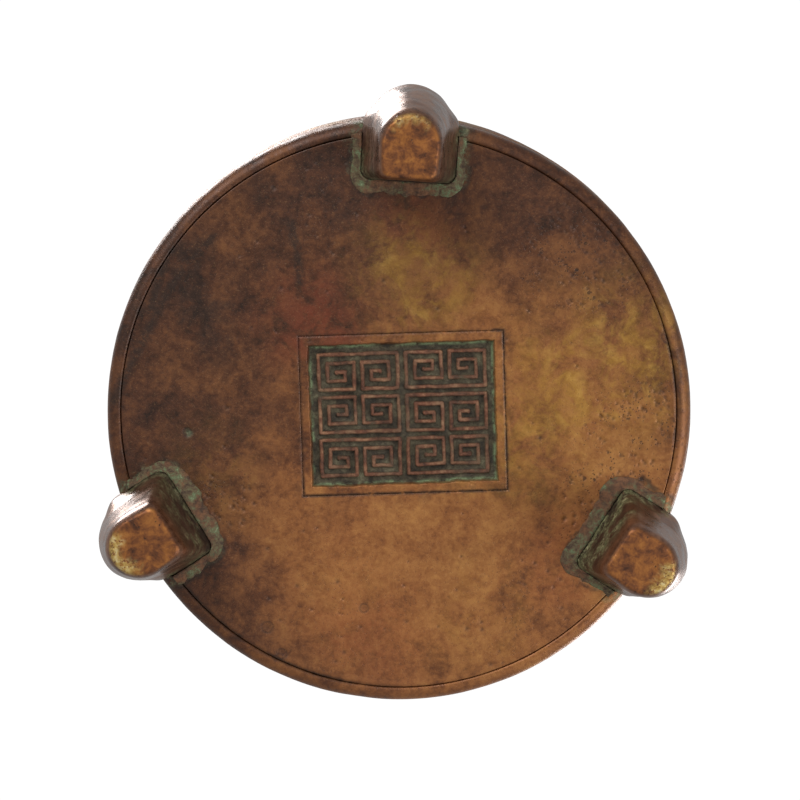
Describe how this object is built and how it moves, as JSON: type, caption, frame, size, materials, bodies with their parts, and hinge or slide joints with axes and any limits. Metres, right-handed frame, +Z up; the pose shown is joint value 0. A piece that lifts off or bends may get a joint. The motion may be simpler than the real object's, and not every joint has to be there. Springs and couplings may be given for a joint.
{
  "type": "tripod incense burner",
  "caption": "Round bronze censer bowl with a rolled rim and a let-in base, standing on short tapered feet, for burning incense in ash.",
  "frame": {"origin": "middle of the object's box on the plane that the feet stand on", "axes": "+Z up out of the bowl's mouth; -Y towards the front foot; +X to the right of the front foot seen from below, with the front foot at the top"},
  "size_m": [0.1322, 0.138, 0.088],
  "materials": {
    "wall_bronze": "brown patinated bronze, satin",
    "base_bronze": "mottled brown patinated bronze, pitted",
    "panel_bronze": "dark green-brown bronze, dull in the recess",
    "foot_bronze": "grey-brown bronze rubbed bright, brassy on the pads",
    "solder": "tin solder turned green"
  },
  "bodies": {
    "root": {"wall_shell": "wall_bronze", "base_plate": "base_bronze", "inset_panel": "panel_bronze", "foot_front": "foot_bronze", "foot_left": "foot_bronze", "foot_right": "foot_bronze", "foot_front_solder": "solder", "foot_left_solder": "solder", "foot_right_solder": "solder", "base_seam_solder": "solder", "panel_solder": "solder"}
  },
  "joints": []
}
